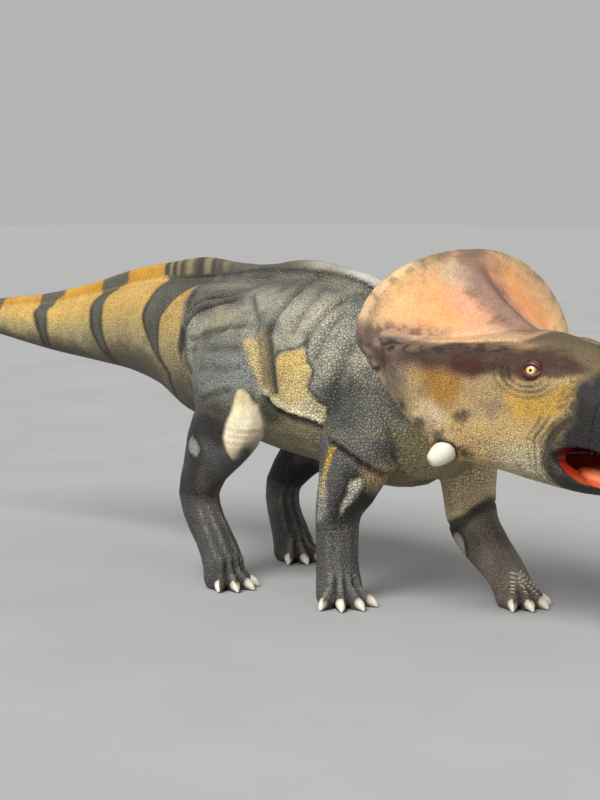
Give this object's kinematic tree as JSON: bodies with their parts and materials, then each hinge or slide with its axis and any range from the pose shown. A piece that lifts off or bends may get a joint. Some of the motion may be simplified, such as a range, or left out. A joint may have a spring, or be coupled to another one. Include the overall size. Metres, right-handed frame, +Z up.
{
  "type": "horned dinosaur statue",
  "caption": "Life-size painted statue of a walking frilled, beaked dinosaur with a striped tail, open mouth, skin ridge along the back and clawed feet.",
  "frame": {"origin": "on the floor, below the centre of the statue's bounding box", "axes": "+X towards the beak, +Y to the animal's left, +Z up"},
  "size_m": [2.2624, 0.5502, 0.7597],
  "materials": {
    "body_skin": "painted glass-fibre casting, matt, pebbled",
    "head_skin": "painted glass-fibre casting, matt, finely pebbled",
    "beak": "dark paint, satin, finely grooved",
    "horn": "off-white paint, satin",
    "eye": "pale yellow painted eye under clear gloss",
    "mouth": "red paint, wet gloss"
  },
  "bodies": {
    "root": {"tail_tip": "body_skin", "tail_middle": "body_skin", "tail_base": "body_skin", "torso": "body_skin", "neck": "body_skin", "right_thigh": "body_skin", "right_shank": "body_skin", "right_foot": "body_skin", "left_thigh": "body_skin", "left_shank": "body_skin", "left_foot": "body_skin", "right_upper_arm": "body_skin", "right_forearm": "body_skin", "right_hand": "body_skin", "left_upper_arm": "body_skin", "left_forearm": "body_skin", "left_hand": "body_skin", "head": "head_skin", "lower_jaw": "head_skin", "frill": "head_skin", "upper_beak": "beak", "lower_beak": "beak", "tongue": "mouth", "left_eye": "eye", "right_eye": "eye", "left_cheek_horn": "horn", "right_cheek_horn": "horn", "right_foot_claw_1": "horn", "right_foot_claw_2": "horn", "right_foot_claw_3": "horn", "right_foot_claw_4": "horn", "left_foot_claw_1": "horn", "left_foot_claw_2": "horn", "left_foot_claw_3": "horn", "left_foot_claw_4": "horn", "right_hand_claw_1": "horn", "right_hand_claw_2": "horn", "right_hand_claw_3": "horn", "right_hand_claw_4": "horn", "left_hand_claw_1": "horn", "left_hand_claw_2": "horn", "left_hand_claw_3": "horn", "left_hand_claw_4": "horn"}
  },
  "joints": []
}
